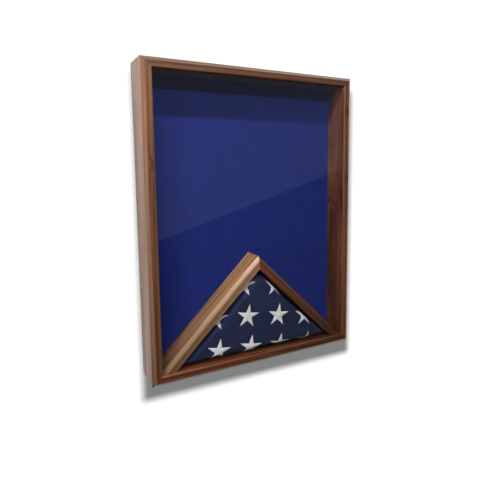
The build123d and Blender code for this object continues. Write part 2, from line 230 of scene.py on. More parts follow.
def walnut(name, along, in_log, tint, fade, knots, painted_recess_shade, coat):
    """Satin walnut with its grain along one direction, cut from a log at in_log.

    Tint multiplies the colour. Fade is painted shade, (axis, clear, dark, share): from the clear place
    along that axis to the dark one, the board is painted darker, down to that share, where less light
    reaches it. Knots are (centre, reach). The argument after the knots is painted shade too: how much
    darker the board is painted behind its front edge, inside the case. Coat is how much it shines.
    """
    shade = Shader(name)
    place = shade.place()
    turn = Vector(along).rotation_difference(Vector((1, 0, 0))).to_euler()
    mapping = {"Vector": place, "Location": in_log, "Rotation": turn}
    in_grain = shade.add("ShaderNodeMapping", mapping).outputs["Vector"]

    def drawn_out(scales):
        """Coordinates in which noise is drawn out along the grain."""
        along_grain, across_grain = scales
        return shade.vector_math("MULTIPLY", in_grain, (along_grain, across_grain, across_grain))

    # Growth rings: the distance from the pith, which wanders slowly along the board.
    wander_inputs = {"Vector": drawn_out(WANDER), "Scale": 1.0, "Detail": 3.0}
    wander = shade.add("ShaderNodeTexNoise", wander_inputs).outputs["Color"]
    pull = shade.vector_math("MULTIPLY", wander, (0.0, PITH_WANDER, PITH_WANDER))
    radius = shade.length(shade.vector_math("ADD", drawn_out((PITH_TAPER, 1.0)), pull))
    knot_shade = 0.0
    for centre, reach in knots:
        squeeze = tuple((KNOT_LENGTH if abs(axis) > 0.5 else 1.0) / reach for axis in along)
        away = shade.vector_math("MULTIPLY", shade.vector_math("SUBTRACT", place, centre), squeeze)
        near = shade.math("SUBTRACT", 1.0, shade.length(away), clamp=True)
        radius = shade.plus(radius, shade.times(near, KNOT_SWIRL))
        knot_shade = shade.math("MAXIMUM", knot_shade, shade.math("POWER", near, 1.5))
    fibre = shade.noise(drawn_out(FIBRES), 1.0, 4.0, 0.6)
    pores = shade.remap(shade.noise(drawn_out(PORES), 1.0, 1.0), PORE_START, PORE_END)
    bands = shade.noise(drawn_out(BANDS), 1.0, 4.0, 0.6)
    patches = shade.noise(drawn_out(PATCHES), 1.0, 2.0)
    radius = shade.plus(radius, shade.times(fibre, RING_RAGGED))
    wide = shade.math("PINGPONG", shade.times(radius, WIDE_RINGS), 1.0)
    fine = shade.math("PINGPONG", shade.times(radius, FINE_RINGS), 1.0)
    blend = shade.times(shade.math("POWER", wide, 2.0), WIDE_SHARE)
    rest = [(fine, FINE_SHARE), (bands, BAND_SHARE), (fibre, FIBRE_SHARE), (patches, PATCH_SHARE)]
    for pattern, share in rest:
        blend = shade.plus(blend, shade.times(pattern, share))
    light, middle, dark = (tinted(colour, tint) for colour in (WALNUT_LIGHT, WALNUT_MIDDLE, WALNUT_DARK))
    colour = shade.ramp(shade.remap(blend, LIGHTEST, DARKEST), [(0.0, light), (0.5, middle), (1.0, dark)])
    colour = shade.mix(shade.times(pores, 0.5), colour, dark)
    if knots:
        in_knot = shade.math("MULTIPLY", knot_shade, KNOT_COVER, clamp=True)
        colour = shade.mix(in_knot, colour, scaled(dark, 0.5))
    # Painted highlight: faces between forward and aside, the chamfers, are painted paler, as if they caught
    # the light.
    colour = shade.mix(shade.times(slant(shade), CHAMFER_PAINTED_HIGHLIGHT), colour, light)
    parts = shade.parts(place)
    # Painted shade: the board is painted darker along one axis, where less light reaches it.
    axis, clear, dark_place, share = fade
    painted_shade_amount = shade.remap(parts[axis], clear, dark_place, 0.0, 1 - share)
    colour = shade.mix(painted_shade_amount, colour, BLACK)
    # Painted shade: darker behind the front edge, inside the case, less so higher up.
    if painted_recess_shade:
        ragged = shade.plus(parts["Y"], shade.times(bands, PAINTED_RECESS_SHADE_RAGGED))
        depth = shade.remap(ragged, PAINTED_RECESS_SHADE_START, PAINTED_RECESS_SHADE_END)
        drop = shade.remap(parts["Z"], PAINTED_RECESS_SHADE_LOW, PAINTED_RECESS_SHADE_HIGH, painted_recess_shade, painted_recess_shade / 2)
        colour = shade.mix(shade.times(depth, drop), colour, BLACK)
    height = shade.math("SUBTRACT", shade.times(fibre, 0.5), pores)
    shade.set(
        Base_Color=colour,
        Roughness=shade.remap(fibre, 0.2, 0.8, 0.46, 0.58),
        Specular_IOR_Level=0.18,
        Normal=shade.bump(height, 0.25, 0.3 * MM),
        Coat_Weight=coat,
        Coat_Roughness=0.22,
    )
    return shade.material


def plain_wood(name, colour, along):
    """Raw pale wood for the splines, streaked along the axes that are named in along."""
    shade = Shader(name)
    stretch = tuple(18.0 if axis else 700.0 for axis in along)
    streaks = shade.noise(shade.vector_math("MULTIPLY", shade.place(), stretch), 1.0, 4.0)
    shade.set(
        Base_Color=shade.ramp(streaks, [(0.3, scaled(colour, 0.6)), (0.7, colour)]),
        Roughness=0.62,
        Normal=shade.bump(streaks, 0.3, 0.2 * MM),
    )
    return shade.material


def clear_glass():
    """Clear glass that bends only what the camera sees through it, so that lamplight passes straight in."""
    shade = Shader("clear_glass")
    shade.set(
        Base_Color=(0.97, 0.985, 0.98, 1.0),
        Transmission_Weight=1.0,
        Roughness=0.0,
        IOR=1.5,
    )
    clear = shade.add("ShaderNodeBsdfTransparent", {"Color": (0.95, 0.96, 0.96, 1.0)})
    ray = shade.add("ShaderNodeLightPath").outputs
    unbent = shade.math("MAXIMUM", ray["Is Diffuse Ray"], ray["Is Shadow Ray"])
    shade.finish_with(unbent, clear.outputs[0])
    return shade.material


FELT_DARK, FELT_LIGHT = (0.0043, 0.0098, 0.092), (0.0075, 0.0157, 0.138)


def blue_felt():
    """Short-napped felt, fuzzy close to and faintly mottled further off."""
    shade = Shader("blue_felt")
    place = shade.place()
    fuzz = shade.noise(place, 1500.0, 3.0, 0.7)
    mottle = shade.noise(place, 55.0, 3.0)
    blend = shade.plus(shade.times(fuzz, 0.4), shade.times(mottle, 0.6))
    shade.set(
        Base_Color=shade.ramp(blend, [(0.25, FELT_DARK), (0.75, FELT_LIGHT)]),
        Roughness=0.95,
        Specular_IOR_Level=0.12,
        Sheen_Weight=0.12,
        Sheen_Roughness=0.6,
        Sheen_Tint=(0.30, 0.40, 0.95, 1.0),
        Normal=shade.bump(fuzz, 0.05, 0.3 * MM),
    )
    return shade.material


THREAD = 0.55 * MM
NAVY_DARK, NAVY_LIGHT = (0.0027, 0.0050, 0.0245), (0.0047, 0.0081, 0.0385)


def woven(shade, place):
    """Height of a plain weave, from the crossing of two sets of threads."""
    turn = math.tau / THREAD
    parts = shade.parts(place)
    x, y, z = (shade.times(parts[axis], turn) for axis in "XYZ")
    warp = shade.math("SINE", shade.plus(x, y))
    weft = shade.math("SINE", shade.plus(z, y))
    return shade.times(warp, weft)


def flag_cloth():
    """Navy nylon bunting with a slight sheen."""
    shade = Shader("flag_navy")
    place = shade.place()
    weave = woven(shade, place)
    slubs = shade.noise(shade.vector_math("MULTIPLY", place, (60.0, 60.0, 900.0)), 1.0, 2.0)
    shadow = shade.noise(place, 22.0, 3.0)
    tone = shade.plus(shade.times(slubs, 0.35), shade.times(shadow, 0.65))
    tone = shade.plus(tone, shade.times(weave, 0.05))
    height = shade.plus(shade.times(weave, 0.5), slubs)
    shade.set(
        Base_Color=shade.ramp(tone, [(0.3, NAVY_DARK), (0.7, NAVY_LIGHT)]),
        Roughness=0.72,
        Specular_IOR_Level=0.24,
        Sheen_Weight=0.10,
        Sheen_Roughness=0.45,
        Sheen_Tint=(0.45, 0.5, 0.85, 1.0),
        Normal=shade.bump(height, 0.35, 0.4 * MM),
    )
    return shade.material


STITCH = 0.62 * MM
STAR_GREY, STAR_WHITE = (0.52, 0.535, 0.52), (0.79, 0.80, 0.78)


def star_thread():
    """Off-white embroidery; its UV runs along and across the arms of each star, in metres."""
    shade = Shader("star_embroidery")
    stitch = shade.add("ShaderNodeUVMap", uv_map="stitch").outputs["UV"]
    fray = shade.noise(shade.vector_math("MULTIPLY", stitch, (900.0, 260.0, 1.0)), 1.0, 3.0)
    along = shade.times(shade.parts(stitch)["X"], math.tau / STITCH)
    threads = shade.math("SINE", shade.plus(along, shade.times(fray, 5.0)))
    soil = shade.noise(shade.place(), 160.0, 4.0, 0.65)
    tone = shade.plus(shade.times(soil, 0.8), shade.times(threads, 0.10))
    shade.set(
        Base_Color=shade.ramp(tone, [(0.22, STAR_GREY), (0.50, STAR_WHITE)]),
        Roughness=0.55,
        Specular_IOR_Level=0.35,
        Sheen_Weight=0.2,
        Sheen_Roughness=0.4,
        Normal=shade.bump(shade.plus(threads, fray), 0.55, 0.3 * MM),
    )
    return shade.material


SCREEN_PITCH = 1.6 * MM


def pressed_board(name, light, dark, screen=False):
    """Fibreboard, or hardboard with the print of the screen it was pressed on."""
    shade = Shader(name)
    place = shade.place()
    fibres = shade.noise(place, 420.0, 5.0, 0.7)
    clouds = shade.noise(place, 18.0, 3.0)
    tone = shade.plus(shade.times(fibres, 0.65), shade.times(clouds, 0.35))
    height = fibres
    if screen:
        turn = math.tau / SCREEN_PITCH
        parts = shade.parts(place)
        column = shade.math("SINE", shade.times(parts["X"], turn))
        row = shade.math("SINE", shade.times(parts["Z"], turn))
        grid = shade.math("MAXIMUM", column, row)
        height = shade.plus(fibres, shade.times(grid, 0.5))
        tone = shade.math("SUBTRACT", tone, shade.times(grid, 0.04))
    shade.set(
        Base_Color=shade.ramp(tone, [(0.32, dark), (0.68, light)]),
        Roughness=0.78,
        Specular_IOR_Level=0.3,
        Normal=shade.bump(height, 0.4, 0.3 * MM),
    )
    return shade.material


def metal(name, bright, dull, roughness):
    """Plated metal with fine scratches and patches of tarnish."""
    shade = Shader(name)
    place = shade.place()
    tarnish = shade.noise(place, 130.0, 4.0, 0.6)
    scratches = shade.noise(shade.vector_math("MULTIPLY", place, (2600.0, 2600.0, 240.0)), 1.0, 2.0)
    shade.set(
        Base_Color=shade.ramp(tarnish, [(0.35, dull), (0.65, bright)]),
        Metallic=1.0,
        Roughness=shade.remap(tarnish, 0.3, 0.7, roughness + 0.16, roughness),
        Normal=shade.bump(scratches, 0.12, 0.1 * MM),
    )
    return shade.material


def rubber():
    """Black rubber, slightly gritty."""
    shade = Shader("bumper_rubber")
    grit = shade.noise(shade.place(), 1400.0, 3.0)
    shade.set(
        Base_Color=shade.ramp(grit, [(0.3, (0.018, 0.018, 0.019)), (0.7, (0.040, 0.040, 0.042))]),
        Roughness=0.7,
        Normal=shade.bump(grit, 0.3, 0.1 * MM),
    )
    return shade.material


# ---------------------------------------------------------------- CAD nodes
def soften_edges(node, width, segments=2):
    """Joins the imported faces and eases their edges without changing the node's own mesh."""
    piece = NODES[node]
    weld = piece.modifiers.new("weld", "WELD")
    weld.merge_threshold = 0.01 * MM
    bevel = piece.modifiers.new("ease", "BEVEL")
    bevel.width = width
    bevel.segments = segments
    bevel.limit_method = "ANGLE"
    bevel.angle_limit = math.radians(30)
    return piece


def dress(node, material):
    """Gives a CAD node its material."""
    piece = NODES[node]
    piece.data.materials.clear()
    piece.data.materials.append(material)


ACROSS, UPRIGHT = (1, 0, 0), (0, 0, 1)
RISING = (math.sqrt(0.5), 0, math.sqrt(0.5))
FALLING = (-math.sqrt(0.5), 0, math.sqrt(0.5))
# Knots: centre in the case's frame, and reach.
LEFT_FRONT_MARK = ((-0.2146, -0.0381, 0.420), 0.008)
RIGHT_MARKS = [
    ((0.2095, -0.016, 0.334), 0.008),
    ((0.2095, 0.002, 0.330), 0.009),
    ((0.2095, 0.020, 0.335), 0.008),
    ((0.2095, -0.002, 0.240), 0.008),
    ((0.2155, -0.0381, 0.535), 0.008),
    ((0.2205, -0.0381, 0.388), 0.009),
]
# Painted shade, standing in for light that falls off: axis, the places where the board is clear and where
# it is painted darkest, and its share there. The sides darken downward, the legs towards their feet and the
# bottom rail to the right.
LONG_PAINTED_SHADE = ("Z", 0.55, 0.0, 0.70)
LEG_PAINTED_SHADE = ("Z", 0.21, 0.0, 0.38)
BOTTOM_PAINTED_SHADE = ("X", -0.23, 0.23, 0.40)
# Widths of the eased edges.
WOOD_EASE, PANEL_EASE, THIN_EASE = 0.4 * MM, 0.3 * MM, 0.2 * MM
BRASS_EASE, STEEL_EASE = 0.15 * MM, 0.12 * MM
# board: direction of the grain, place in the log, tint, painted shade along an axis, knots, painted shade
# behind the front edge, coat
BOARDS = {
    "frame_bottom": (ACROSS, (1.10, 0.03, 0.06), (0.51, 0.375, 0.285), BOTTOM_PAINTED_SHADE, [], 0.0, 0.3),
    "frame_top": (ACROSS, (-0.2, 0.07, -0.5), (0.37, 0.35, 0.30), LONG_PAINTED_SHADE, [], 0.0, 0.35),
    "frame_left": (UPRIGHT, (0.9, 0.03, 0.13), (0.57, 0.55, 0.46), LONG_PAINTED_SHADE, [LEFT_FRONT_MARK], 0.0, 0.2),
    "frame_right": (UPRIGHT, (0.15, 0.02, -0.18), (0.68, 0.57, 0.49), LONG_PAINTED_SHADE, RIGHT_MARKS, 0.1, 0.3),
    "flag_leg_left": (RISING, (0.5, 0.10, 0.04), (1.38, 1.68, 1.62), LEG_PAINTED_SHADE, [], 0.0, 0.3),
    "flag_leg_right": (FALLING, (0.7, 0.05, 0.09), (0.54, 0.43, 0.40), LEG_PAINTED_SHADE, [], 0.0, 0.3),
}
for board, settings in BOARDS.items():
    dress(board, walnut("walnut_" + board, *settings))
    soften_edges(board, WOOD_EASE)

MAPLE = (0.62, 0.44, 0.26)
maple_across = plain_wood("maple_across", MAPLE, (1, 0, 1))
for spline in [name for name in NODES if "spline" in name]:
    dress(spline, maple_across)
    soften_edges(spline, THIN_EASE)

dress("glass_pane", clear_glass())
soften_edges("glass_pane", THIN_EASE)
FIBREBOARD_LIGHT, FIBREBOARD_DARK = (0.36, 0.27, 0.17), (0.20, 0.14, 0.085)
HARDBOARD_LIGHT, HARDBOARD_DARK = (0.20, 0.115, 0.060), (0.085, 0.045, 0.024)
dress("pin_board", pressed_board("fibreboard", FIBREBOARD_LIGHT, FIBREBOARD_DARK))
hardboard = pressed_board("hardboard", HARDBOARD_LIGHT, HARDBOARD_DARK, screen=True)
dress("back_panel", hardboard)
for board in ("pin_board", "back_panel"):
    soften_edges(board, PANEL_EASE)

BRASS_BRIGHT, BRASS_DULL, BRASS_ROUGHNESS = (0.82, 0.60, 0.28), (0.50, 0.33, 0.13), 0.24
STEEL_BRIGHT, STEEL_DULL, STEEL_ROUGHNESS = (0.72, 0.72, 0.70), (0.48, 0.48, 0.47), 0.28
brass = metal("brass", BRASS_BRIGHT, BRASS_DULL, BRASS_ROUGHNESS)
steel = metal("zinc_plated_steel", STEEL_BRIGHT, STEEL_DULL, STEEL_ROUGHNESS)
for node in NODES:
    if node.startswith("turn_button"):
        dress(node, brass)
        soften_edges(node, BRASS_EASE)
    elif node.startswith("hanger") or node == "leg_screws":
        dress(node, steel)
        if "ring" not in node:
            soften_edges(node, STEEL_EASE)
dress("wall_bumpers", rubber())


# ---------------------------------------------------------------- mesh helpers
def new_piece(name, mesh, body, material, replaced=()):
    """A finished piece that rides a body, takes the given material and may stand for CAD nodes."""
    piece = bpy.data.objects.new(name, mesh)
    bpy.context.scene.collection.objects.link(piece)
    mesh.materials.clear()
    mesh.materials.append(material)
    for polygon in mesh.polygons:
        polygon.use_smooth = True
    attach(piece, body)
    if replaced:
        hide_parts(*replaced)
    return piece


def modified(mesh, kind, **settings):
    """A copy of a mesh with one modifier applied."""
    maker = bpy.data.objects.new("maker", mesh)
    bpy.context.scene.collection.objects.link(maker)
    modifier = maker.modifiers.new("step", kind)
    for key, value in settings.items():
        setattr(modifier, key, value)
    graph = bpy.context.evaluated_depsgraph_get()
    result = bpy.data.meshes.new_from_object(maker.evaluated_get(graph))
    bpy.data.objects.remove(maker)
    return result


# ---------------------------------------------------------------- felt
FELT_CELL = 4 * MM
FELT_RELIEF = 0.06 * MM
FELT_WAVES = [(90, 0.7), (17, 3.1)]  # scale per metre and where in the noise


def felt_mesh():
    """A closed sheet as thick as the CAD felt, its nap standing and sinking slightly."""
    columns = round((FELT_HIGH.x - FELT_LOW.x) / FELT_CELL)
    rows = round((FELT_HIGH.z - FELT_LOW.z) / FELT_CELL)
    shape = bmesh.new()

    def grid(y, relief):
        made = []
        for row in range(rows + 1):
            z = FELT_LOW.z + (FELT_HIGH.z - FELT_LOW.z) * row / rows
            line = []
            for column in range(columns + 1):
                x = FELT_LOW.x + (FELT_HIGH.x - FELT_LOW.x) * column / columns
                wave = sum(noise.noise(Vector((x * scale, z * scale, w))) for scale, w in FELT_WAVES)
                line.append(shape.verts.new((x, y + relief * (1 + wave), z)))
            made.append(line)
        return made

    front = grid(FELT_LOW.y, FELT_RELIEF)
    rear = grid(FELT_HIGH.y, 0.0)
    for row in range(rows):
        for column in range(columns):
            for layer, order in ((front, (0, 1, 2, 3)), (rear, (3, 2, 1, 0))):
                corners = (
                    layer[row][column],
                    layer[row][column + 1],
                    layer[row + 1][column + 1],
                    layer[row + 1][column],
                )
                shape.faces.new([corners[i] for i in order])

    def rim(layer):
        bottom = [(0, column) for column in range(columns)]
        right = [(row, columns) for row in range(rows)]
        top = [(rows, column) for column in range(columns, 0, -1)]
        left = [(row, 0) for row in range(rows, 0, -1)]
        return [layer[row][column] for row, column in bottom + right + top + left]

    front_rim, rear_rim = rim(front), rim(rear)
    for index, vertex in enumerate(front_rim):
        before = index - 1
        shape.faces.new((front_rim[before], rear_rim[before], rear_rim[index], vertex))
    bmesh.ops.recalc_face_normals(shape, faces=shape.faces)
    mesh = bpy.data.meshes.new("felt")
    shape.to_mesh(mesh)
    shape.free()
    return mesh


felt = new_piece("felt_sheet", felt_mesh(), "back", blue_felt(), ["felt_liner"])

# ---------------------------------------------------------------- folded flag
CAD_CORNER = 9 * MM  # radius of the CAD flag's corners
FLAG_HALF = FLAG_HIGH.x + CAD_CORNER * math.sqrt(2)  # half the base of the same triangle with sharp corners
FLAG_RIM = 5.5 * MM  # roundness of the folded edges
SWELL_ROOM = 3.0 * MM  # the bundle starts this much thinner on each face
LEFT_ROOM, RIGHT_ROOM, BOTTOM_ROOM = 2.0 * MM, 0.5 * MM, 1.2 * MM
BASE_ROUND, APEX_ROUND, LEAST_ROUND = 4 * MM, 17 * MM, 0.4 * MM
FRONT_START = FLAG_LOW.y + SWELL_ROOM
REAR_START = FLAG_HIGH.y - SWELL_ROOM
SWELL_CAP = 4.0 * MM  # the furthest that the pressure may move a point
CLOTH_CELL = 4.8 * MM
CLOTH_PRESSURE, CLOTH_STIFFNESS, CLOTH_FRAMES = 4.0, 4.0, 20


def triangle(inset):
    """Corners (x, z) of the bundle's outline before rounding: left, right and apex."""
    left, right, bottom = LEFT_ROOM + inset, RIGHT_ROOM + inset, BOTTOM_ROOM + inset
    root = math.sqrt(2)
    low = FLAG_LOW.z + bottom
    return [
        Vector((left * root + bottom - FLAG_HALF, low)),
        Vector((FLAG_HALF - right * root - bottom, low)),
        Vector(((left - right) / root, FLAG_LOW.z + FLAG_HALF - (left + right) / root)),
    ]


def rounded(corners, radii, arc_steps=8, edge_steps=24):
    """Evenly numbered points round a triangle whose corners are arcs."""
    points = []
    for index, (corner, radius) in enumerate(zip(corners, radii)):
        back = (corners[index - 1] - corner).normalized()
        ahead = (corners[(index + 1) % 3] - corner).normalized()
        half = back.angle(ahead) / 2
        centre = corner + (back + ahead).normalized() * radius / math.sin(half)
        start = corner + back * radius / math.tan(half) - centre
        turn = math.pi - 2 * half
        for step in range(arc_steps + 1):
            angle = turn * step / arc_steps
            spun = Matrix.Rotation(angle, 2) @ start
            points.append(centre + spun)
    whole = []
    for index, point in enumerate(points):
        whole.append(point)
        if index % (arc_steps + 1) == arc_steps:
            following = points[(index + 1) % len(points)]
            whole += [point.lerp(following, step / edge_steps) for step in range(1, edge_steps)]
    return whole


def outline(inset):
    """Points (x, z) round the bundle, this far in from its widest."""
    radii = [max(radius - inset, LEAST_ROUND) for radius in (BASE_ROUND, BASE_ROUND, APEX_ROUND)]
    return rounded(triangle(inset), radii)


def bundle_start():
    """A triangular bundle with rounded rims, ready to be blown up as cloth."""
    shape = bmesh.new()
    rings = []
    rim_steps = 5
    for step in range(rim_steps + 1):
        angle = math.pi / 2 * step / rim_steps
        inset = FLAG_RIM * (1 - math.sin(angle))
        depth = FLAG_RIM * (1 - math.cos(angle))
        rings.append((inset, FRONT_START + depth))
    rings += [(inset, FRONT_START + REAR_START - y) for inset, y in reversed(rings)]
    loops = [[shape.verts.new((p.x, y, p.y)) for p in outline(inset)] for inset, y in rings]
    for one, other in zip(loops, loops[1:]):
        for index in range(len(one)):
            shape.faces.new((one[index - 1], one[index], other[index], other[index - 1]))
    shape.faces.new(loops[0])
    shape.faces.new(list(reversed(loops[-1])))
    bmesh.ops.recalc_face_normals(shape, faces=shape.faces)
    mesh = bpy.data.meshes.new("bundle_start")
    shape.to_mesh(mesh)
    shape.free()
    return mesh


def blown_up(mesh):
    """A bundle swollen as cloth under pressure, no point moving further than the cap."""
    maker = bpy.data.objects.new("bundle_cloth", mesh)
    bpy.context.scene.collection.objects.link(maker)
    cloth = maker.modifiers.new("cloth", "CLOTH")
    cloth.settings.use_pressure = True
    cloth.settings.uniform_pressure_force = CLOTH_PRESSURE
    cloth.settings.effector_weights.gravity = 0
    cloth.settings.bending_stiffness = CLOTH_STIFFNESS
    cloth.point_cache.frame_end = CLOTH_FRAMES
    for step in range(1, CLOTH_FRAMES + 1):
        bpy.context.scene.frame_set(step)
    graph = bpy.context.evaluated_depsgraph_get()
    result = bpy.data.meshes.new_from_object(maker.evaluated_get(graph))
    for before, after in zip(mesh.vertices, result.vertices):
        move = after.co - before.co
        if move.length > SWELL_CAP:
            after.co = before.co + move * (SWELL_CAP / move.length)
    bpy.data.objects.remove(maker)
    bpy.context.scene.frame_set(1)
    return result


# Soft creases over the front: two ends (x, z), how far they stand out and how wide they are.
CREASES = [
    ((-0.150, 0.026), (0.010, 0.118), -0.8 * MM, 9 * MM),
    ((-0.060, 0.024), (0.105, 0.066), 0.7 * MM, 10 * MM),
    ((0.148, 0.040), (0.020, 0.166), 0.9 * MM, 6 * MM),
    ((0.130, 0.034), (0.010, 0.150), -0.7 * MM, 5 * MM),
    ((-0.020, 0.060), (-0.008, 0.150), -0.5 * MM, 8 * MM),
]
LAYER_PITCH = 9 * MM  # the layers of cloth that show round the rim
LAYER_GROOVE = 1.3 * MM
SOFT_RELIEF = [(0.55 * MM, 26), (0.25 * MM, 70)]  # height and scale per metre of the gentle unevenness
# The front of the underside is off the board: how far at the left, how much more towards the right,
# and a wave in it that grows with it. It dies away upward and towards the rear.
LIFT_START, LIFT_RISE, LIFT_WAVE = 0.2 * MM, 1.2 * MM, 0.7 * MM
LIFT_WAVELENGTH = math.tau * 26 * MM
LIFT_HEIGHT, LIFT_DEPTH = 22 * MM, 14 * MM


def relief_at(place, normal):
    """How far the cloth stands out from the blown-up bundle at a point."""
    soft = sum(height * noise.noise(place * scale) for height, scale in SOFT_RELIEF)
    for start, finish, height, width in CREASES:
        flat = Vector((place.x, place.z))
        near, share = geometry.intersect_point_line(flat, Vector(start), Vector(finish))
        share = min(max(share, 0.0), 1.0)
        near = Vector(start).lerp(Vector(finish), share)
        fade = math.sin(math.pi * min(max(share, 0.03), 0.97)) ** 0.5
        soft += height * fade * abs(normal.y) * math.exp(-(((flat - near).length / width) ** 2))
    wave = math.cos(math.tau * (place.y - FRONT_START - FLAG_RIM / 3) / LAYER_PITCH)
    rim = (1 - abs(normal.y)) ** 2
    return soft - LAYER_GROOVE * rim * max(wave, 0.0) ** 4


def lift_at(x):
    """How far the front of the bundle's underside is off the board."""
    along = (x + FLAG_HALF) / (2 * FLAG_HALF)
    wave = math.sin(math.tau * x / LIFT_WAVELENGTH)
    return LIFT_START + LIFT_RISE * along + LIFT_WAVE * wave * along


def settle(mesh):
    """Adds the creases, lifts the front edge and keeps the bundle above the board."""
    moved = []
    for vertex in mesh.vertices:
        moved.append(vertex.co + vertex.normal * relief_at(vertex.co, vertex.normal))
    middle = (FLAG_LOW.y + FLAG_HIGH.y) / 2
    for vertex, place in zip(mesh.vertices, moved):
        low_down = max(0.0, 1 - (place.z - FLAG_LOW.z) / LIFT_HEIGHT)
        forward = min(max((middle - place.y) / LIFT_DEPTH, 0.0), 1.0)
        place.z += lift_at(place.x) * low_down * forward
        place.z = max(place.z, FLAG_LOW.z)
        vertex.co = place
    mesh.update()


bundle = blown_up(modified(bundle_start(), "REMESH", mode="VOXEL", voxel_size=CLOTH_CELL))
bundle = modified(bundle, "SUBSURF", levels=1, render_levels=1)
settle(bundle)
flag = new_piece("flag_bundle", bundle, "case", flag_cloth(), ["folded_flag"])

# ---------------------------------------------------------------- stars
STAR_TIP = 26.5 * MM
STAR_VALLEY = STAR_TIP * 0.35
STAR_TURN = math.radians(-10)
STAR_HEIGHT = 1.1 * MM  # from its edge to its middle
STAR_DOME = 1.6  # higher is flatter on top
STAR_EDGE = 0.12 * MM  # how high the edge stands off the cloth
STAR_ROOT = 0.5 * MM  # the underside is sunk this far into the cloth
STAR_RINGS = 8
STAR_MIDDLE = Vector((0, 0))
ARM_STEP = math.tau / 5
EDGE_PARTS = 5
# Centres (x, z) as the cloth lies, before it wraps round the folded edges.
STAR_CENTRES = [
    (-0.0345, 0.171),
    (0.0418, 0.1605),
    (-0.0977, 0.109),
    (-0.0266, 0.1023),
    (0.0455, 0.0924),
    (0.1155, 0.081),
    (-0.0925, 0.0395),
    (-0.0215, 0.034),
    (0.049, 0.0245),
    (0.119, 0.0150),
]

bundle_tree = BVHTree.FromPolygons(
    [vertex.co.copy() for vertex in bundle.vertices],
    [polygon.vertices[:] for polygon in bundle.polygons],
)
FACE_EDGE = outline(FLAG_RIM)


def nearest_on_face_edge(point):
    """(nearest point, whether the given one is inside) for the edge of the flat front face."""
    best, inside = None, True
    for index, corner in enumerate(FACE_EDGE):
        before = FACE_EDGE[index - 1]
        edge = corner - before
        if edge.length < 1e-7:
            continue
        share = min(max((point - before).dot(edge) / edge.length_squared, 0.0), 1.0)
        near = before + edge * share
        if best is None or (point - near).length < (point - best).length:
            best = near
        if edge.x * (point.y - before.y) - edge.y * (point.x - before.x) < 0:
            inside = False
    return best, inside


def on_cloth(u, v, side):
    """Point and normal of the bundle where the flat cloth's point (u, v) lies; side is -1 in front."""
    face_y = FRONT_START if side < 0 else REAR_START
    flat = Vector((u, v))
    near, inside = nearest_on_face_edge(flat)
    if inside:
        ideal = Vector((u, face_y + side * SWELL_CAP, v))
    else:
        outward = flat - near
        angle = min(outward.length / FLAG_RIM, math.pi / 2)
        spare = outward.length - angle * FLAG_RIM
        reach = outward.normalized() * FLAG_RIM * math.sin(angle)
        depth = FLAG_RIM * (1 - math.cos(angle)) + spare
        ideal = Vector((near.x + reach.x, face_y - side * depth, near.y + reach.y))
    place, normal, _, _ = bundle_tree.find_nearest(ideal)
    return place, normal


def star_outline(turn):
    """Points (x, z) round a five-pointed star, its edges cut into equal parts."""
    corners = []
    for index in range(10):
        angle = math.pi / 2 + turn - index * ARM_STEP / 2
        radius = STAR_VALLEY if index % 2 else STAR_TIP
        corners.append(Vector((math.cos(angle), math.sin(angle))) * radius)
    points = []
    for index, corner in enumerate(corners):
        following = corners[(index + 1) % 10]
        points += [corner.lerp(following, part / EDGE_PARTS) for part in range(EDGE_PARTS)]
    return points


def add_star(shape, stitch, centre, turn, side):
    """One padded star sewn to the bundle, a closed shell with its underside in the cloth."""
    edge = star_outline(turn)
    flats = [[point * ((ring + 1) / STAR_RINGS) for point in edge] for ring in range(STAR_RINGS)]

    def raised(point, share, sunk):
        place, normal = on_cloth(centre[0] + point.x, centre[1] + point.y, side)
        height = -STAR_ROOT if sunk else STAR_EDGE + STAR_HEIGHT * (1 - share**STAR_DOME)
        return shape.verts.new(place + normal * height)

    # Each point of the shell goes with its flat place in the star, which the stitches follow.
    tops = []
    for ring, flat in enumerate(flats):
        share = (ring + 1) / STAR_RINGS
        tops.append([(raised(point, share, False), point) for point in flat])
    peak = (raised(STAR_MIDDLE, 0.0, False), STAR_MIDDLE)
    under = [(raised(point, 1.0, True), point) for point in flats[-1]]
    base = (raised(STAR_MIDDLE, 0.0, True), STAR_MIDDLE)
    strips = [*tops, under]
    for index in range(len(edge)):
        before = index - 1
        middle = (edge[before] + edge[index]) / 2
        arm = round((math.atan2(middle.y, middle.x) - math.pi / 2 - turn) / ARM_STEP)
        axis = math.pi / 2 + turn + arm * ARM_STEP
        ahead = Vector((math.cos(axis), math.sin(axis)))
        aside = Vector((-ahead.y, ahead.x))
        made = [(peak, tops[0][before], tops[0][index])]
        for inner, outer in zip(strips, strips[1:]):
            made.append((inner[before], outer[before], outer[index], inner[index]))
        made.append((under[before], base, under[index]))
        for corners in made:
            face = shape.faces.new([vertex for vertex, _ in corners])
            for loop, (_, flat) in zip(face.loops, corners):
                loop[stitch].uv = (flat.dot(ahead), flat.dot(aside))


def star_piece(name, side, turn):
    """All the stars on one face of the bundle."""
    shape = bmesh.new()
    stitch = shape.loops.layers.uv.new("stitch")
    for centre in STAR_CENTRES:
        add_star(shape, stitch, centre, turn, side)
    bmesh.ops.recalc_face_normals(shape, faces=shape.faces)
    mesh = bpy.data.meshes.new(name)
    shape.to_mesh(mesh)
    shape.free()
    return new_piece(name, mesh, "case", star_cloth)


star_cloth = star_thread()
star_piece("flag_stars_front", -1, STAR_TURN)
star_piece("flag_stars_rear", 1, -STAR_TURN)

# ---------------------------------------------------------------- camera
CAMERA_PLACE = Vector((-0.4106, -0.8710, 0.4305))
CAMERA_RIGHT = Vector((0.85817, -0.51336, 0.00116))
CAMERA_UP = Vector((0.06132, 0.10475, 0.99261))
CAMERA_LENS = 34.01
CAMERA_SHIFT = (-0.1200, -0.0527)

